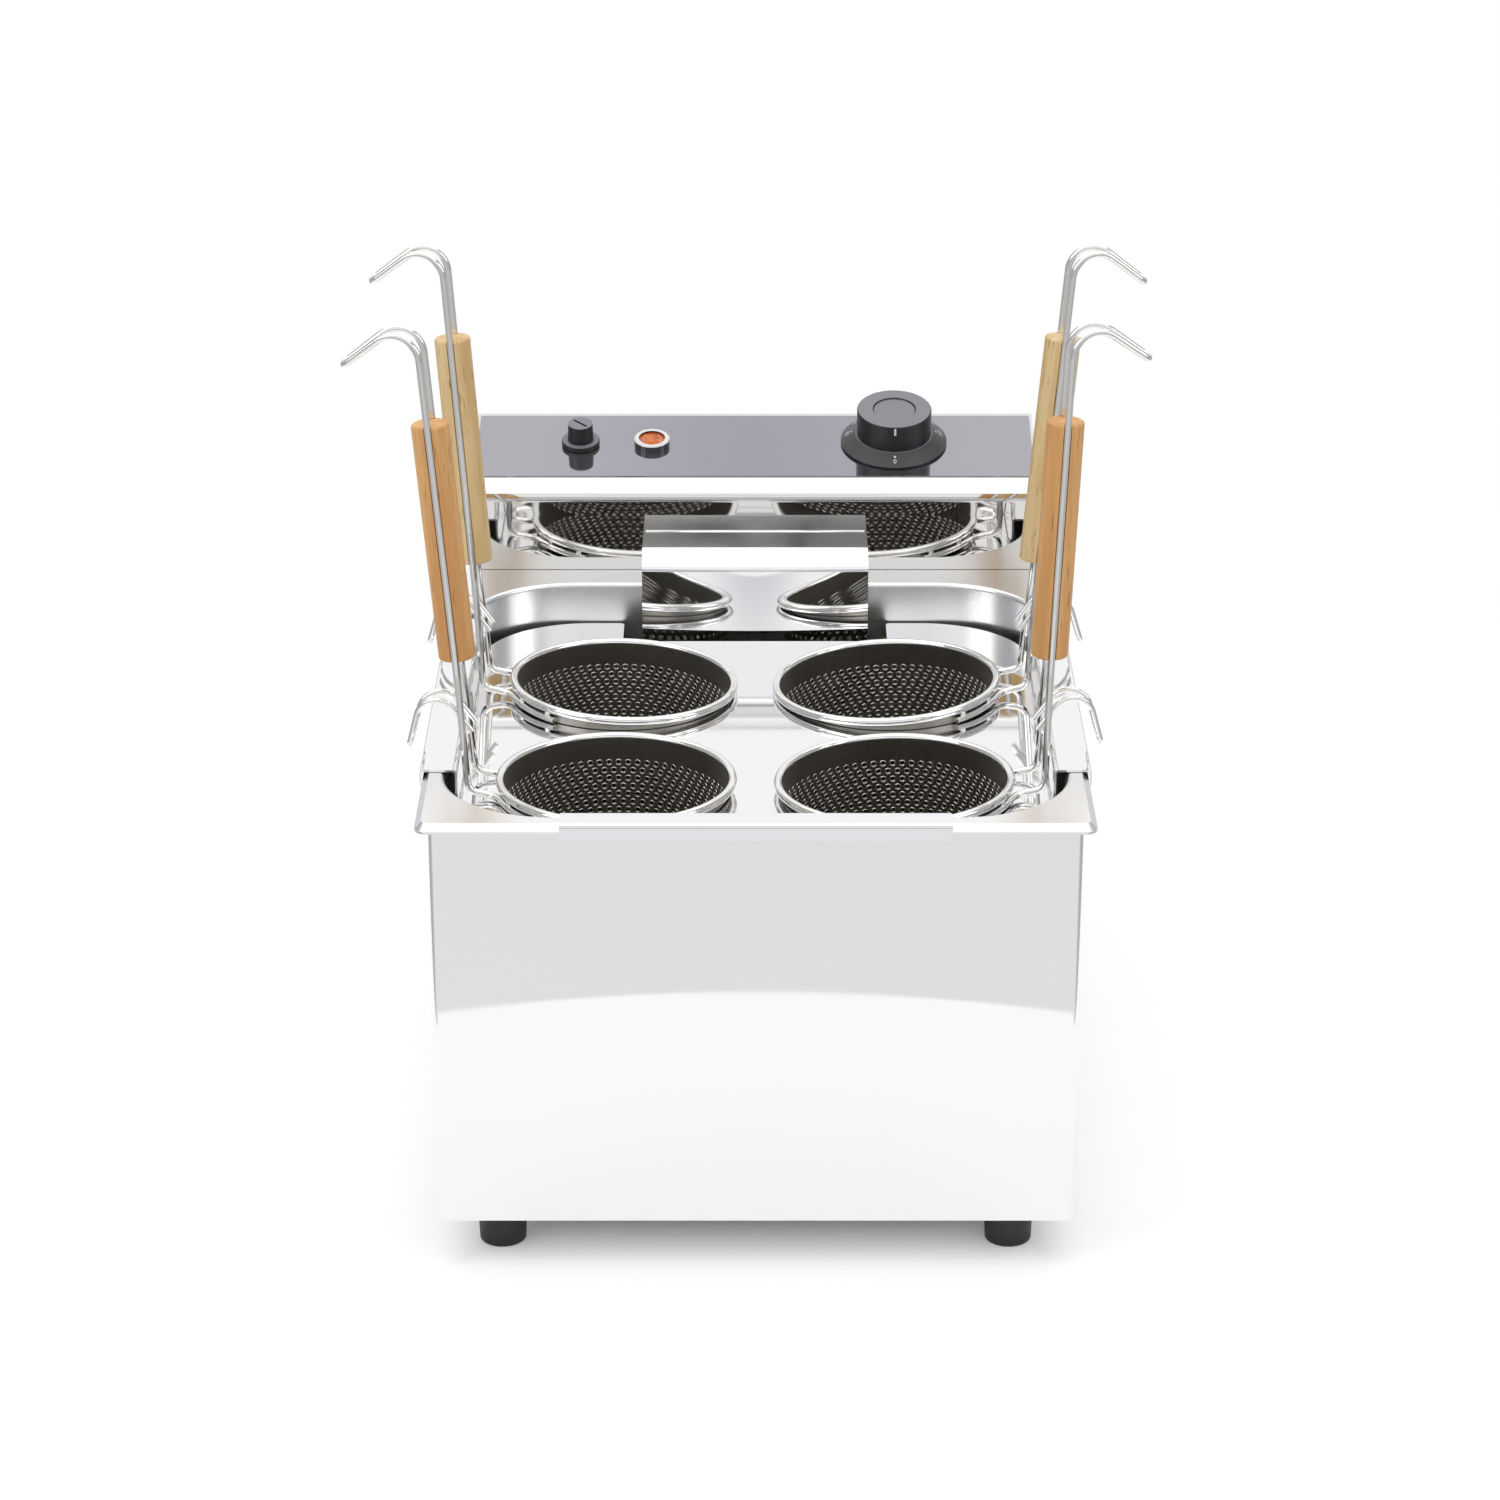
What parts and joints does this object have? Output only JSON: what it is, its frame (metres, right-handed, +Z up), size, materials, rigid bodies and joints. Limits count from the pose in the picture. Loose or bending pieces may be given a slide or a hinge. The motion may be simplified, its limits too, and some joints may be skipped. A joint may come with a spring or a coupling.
{
  "type": "pasta cooker",
  "caption": "Countertop electric pasta cooker: steel casing and tank, folded rack, perforated lift-out baskets with wooden grips, and a control head with heating elements.",
  "frame": {"origin": "on the ground under the middle of the whole cooker", "axes": "+Z up, the front of the casing faces -Y, +X to the right seen from the front"},
  "size_m": [0.4333, 0.4816, 0.4936],
  "materials": {
    "casing_steel": "polished stainless sheet",
    "tank_steel": "satin drawn stainless sheet",
    "rack_steel": "polished stainless sheet",
    "cup_steel": "perforated stainless sheet",
    "wire_steel": "bright nickel-like wire",
    "grip_wood": "oiled turned wood",
    "foot_rubber": "black rubber",
    "fastener_steel": "plated screws and nuts",
    "panel_film": "dark glossy fascia",
    "knob_plastic": "black satin plastic",
    "lamp_bezel_plastic": "white moulded bezel",
    "lamp_lens_plastic": "orange faceted lens",
    "element_steel": "dull steel sheath",
    "inner_plastic": "pale moulded insulation",
    "gland_plastic": "black moulded gland"
  },
  "bodies": {
    "casing": {"casing_shell": "casing_steel", "base_plate": "casing_steel", "base_plate_screws": "fastener_steel", "foot_screws": "fastener_steel", "foot_nuts": "fastener_steel", "head_rail": "casing_steel", "head_rail_screws": "fastener_steel", "front_left_foot": "foot_rubber", "front_right_foot": "foot_rubber", "rear_left_foot": "foot_rubber", "rear_right_foot": "foot_rubber"},
    "tank": {"tank_pan": "tank_steel"},
    "head": {"head_shell": "casing_steel", "head_back_cover": "casing_steel", "head_back_screws": "fastener_steel", "control_panel": "panel_film", "element_hood": "rack_steel", "outer_heating_element": "element_steel", "middle_heating_element": "element_steel", "inner_heating_element": "element_steel", "element_strap": "element_steel", "element_clamp_plate": "element_steel", "thermostat_bulb": "element_steel", "thermostat_capillary": "element_steel", "thermostat_body": "inner_plastic", "selector_switch_body": "inner_plastic", "safety_limiter": "inner_plastic", "lamp_bezel": "lamp_bezel_plastic", "lamp_lens": "lamp_lens_plastic", "lamp_body": "inner_plastic", "terminal_block": "inner_plastic", "cable_gland": "gland_plastic"},
    "temperature_control": {"temperature_knob": "knob_plastic", "thermostat_shaft": "fastener_steel"},
    "power_control": {"power_knob": "knob_plastic", "selector_shaft": "fastener_steel"},
    "rack": {"basket_rack": "rack_steel"},
    "front_left_basket": {"front_left_cup": "cup_steel", "front_left_handle_wire": "wire_steel", "front_left_hanging_hook": "wire_steel", "front_left_grip": "grip_wood"},
    "front_right_basket": {"front_right_cup": "cup_steel", "front_right_handle_wire": "wire_steel", "front_right_hanging_hook": "wire_steel", "front_right_grip": "grip_wood"},
    "rear_left_basket": {"rear_left_cup": "cup_steel", "rear_left_handle_wire": "wire_steel", "rear_left_hanging_hook": "wire_steel", "rear_left_grip": "grip_wood"},
    "rear_right_basket": {"rear_right_cup": "cup_steel", "rear_right_handle_wire": "wire_steel", "rear_right_hanging_hook": "wire_steel", "rear_right_grip": "grip_wood"}
  },
  "joints": [
    {"name": "tank_lift", "type": "slide", "parent": "casing", "child": "tank", "axis": [0, 0, 1], "range_m": [0, 0.19]},
    {"name": "head_lift", "type": "slide", "parent": "tank", "child": "head", "axis": [0, 0, 1], "range_m": [0, 0.19]},
    {"name": "rack_lift", "type": "slide", "parent": "head", "child": "rack", "axis": [0, 0, 1], "range_m": [0, 0.15]},
    {"name": "front_left_basket_lift", "type": "slide", "parent": "rack", "child": "front_left_basket", "axis": [0.0035, -0.0003, 1], "range_m": [0, 0.15]},
    {"name": "front_right_basket_lift", "type": "slide", "parent": "rack", "child": "front_right_basket", "axis": [-0.0252, -0.002, 0.9997], "range_m": [0, 0.15]},
    {"name": "rear_left_basket_lift", "type": "slide", "parent": "rack", "child": "rear_left_basket", "axis": [0.0383, -0.003, 0.9993], "range_m": [0, 0.15]},
    {"name": "rear_right_basket_lift", "type": "slide", "parent": "rack", "child": "rear_right_basket", "axis": [-0.0513, -0.004, 0.9987], "range_m": [0, 0.15]},
    {"name": "temperature_turn", "type": "hinge", "parent": "head", "child": "temperature_control", "pos_m": [0.0834, 0.20404, 0.3235], "axis": [0, 0.2334, -0.9724], "range_deg": [0, 270]},
    {"name": "power_turn", "type": "hinge", "parent": "head", "child": "power_control", "pos_m": [-0.1047, 0.2021, 0.32304], "axis": [0, 0.2334, -0.9724], "range_deg": [0, 90]}
  ]
}
